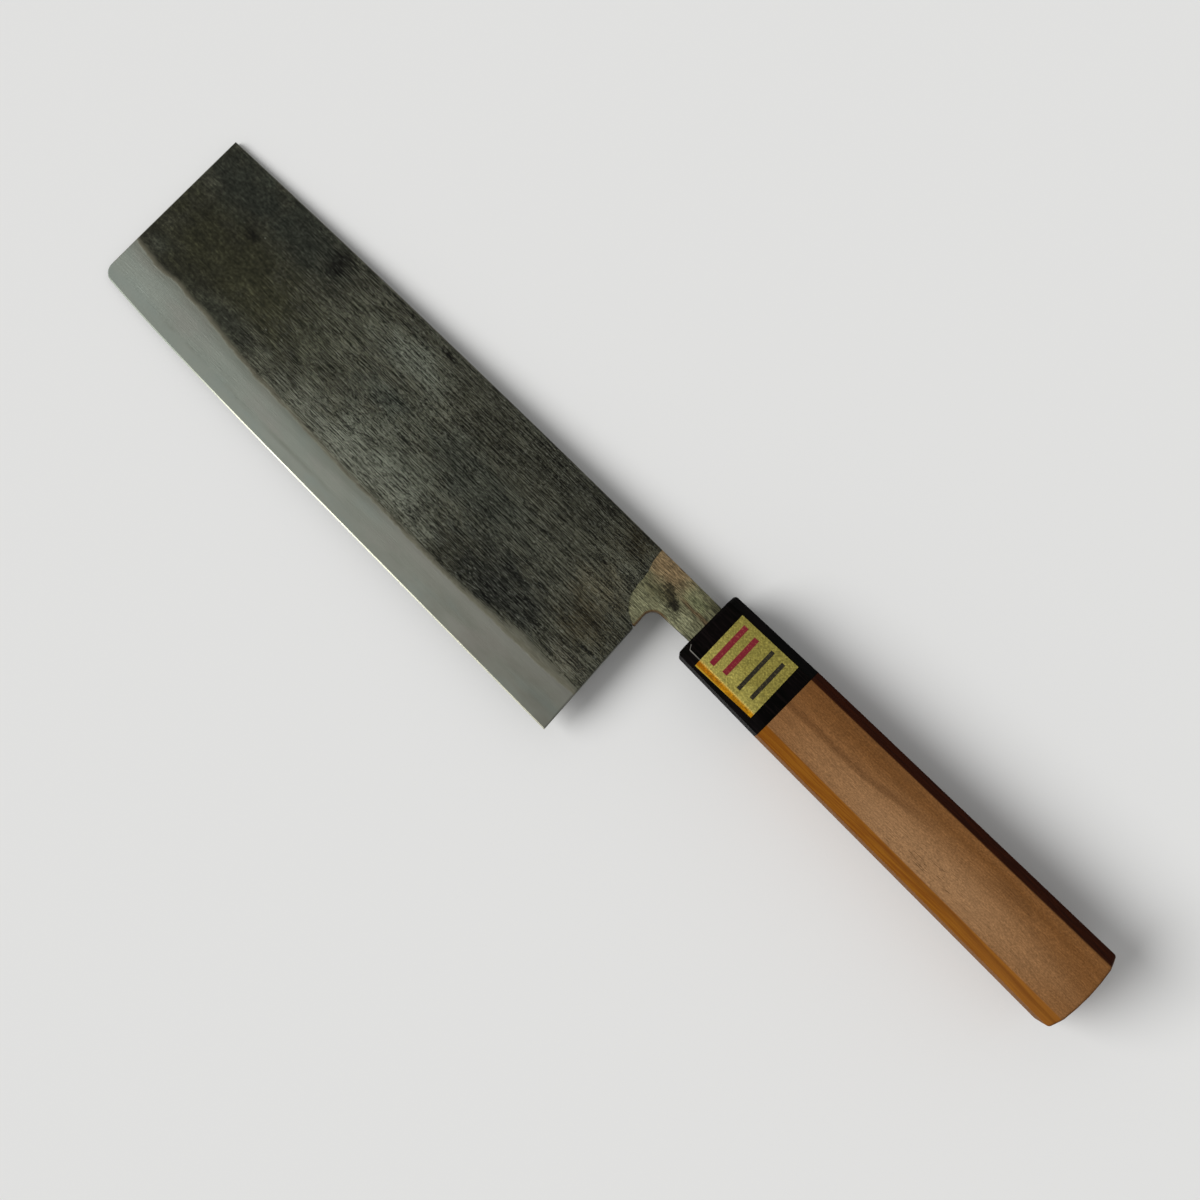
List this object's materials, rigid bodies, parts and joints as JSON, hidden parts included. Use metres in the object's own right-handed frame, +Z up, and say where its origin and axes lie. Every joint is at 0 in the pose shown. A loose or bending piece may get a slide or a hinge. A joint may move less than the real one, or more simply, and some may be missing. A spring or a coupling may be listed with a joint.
{
  "type": "nakiri knife",
  "caption": "Vegetable knife with a tall square-ended laminated blade, stainless tang, black ferrule and octagonal wooden handle, lying on its side.",
  "frame": {"origin": "centre of the bounding box's bottom: the knife lies on its right side on the plane z = 0, touching it with the ferrule's lower front corner and the blade's front end", "axes": "+X from the blade's front end to the handle's butt, +Y to the spine, +Z up, out of the blade's left face; the knife leans 2.6 degrees about Y, as it lies on a table"},
  "size_m": [0.3038, 0.0588, 0.0252],
  "materials": {
    "core_steel": "polished edge bevel, brighter than the cladding",
    "cladding": "black forge scale above, hazy polished bevel below",
    "tang": "brushed stainless with a tan and olive heat tint",
    "ferrule": "black dyed hardwood laminate, satin",
    "seal": "black resin",
    "dowel": "pale hardwood, unfinished",
    "resin": "amber casting resin",
    "handle": "brown fine-grained hardwood, satin oil",
    "foil": "gold metallised paper, fine-textured"
  },
  "bodies": {
    "root": {"core_steel": "core_steel", "left_cladding": "cladding", "right_cladding": "cladding", "tang": "tang", "ferrule": "ferrule", "mouth_seal": "seal", "dowel": "dowel", "bore_filler": "resin", "handle": "handle", "label": "foil"}
  },
  "joints": []
}
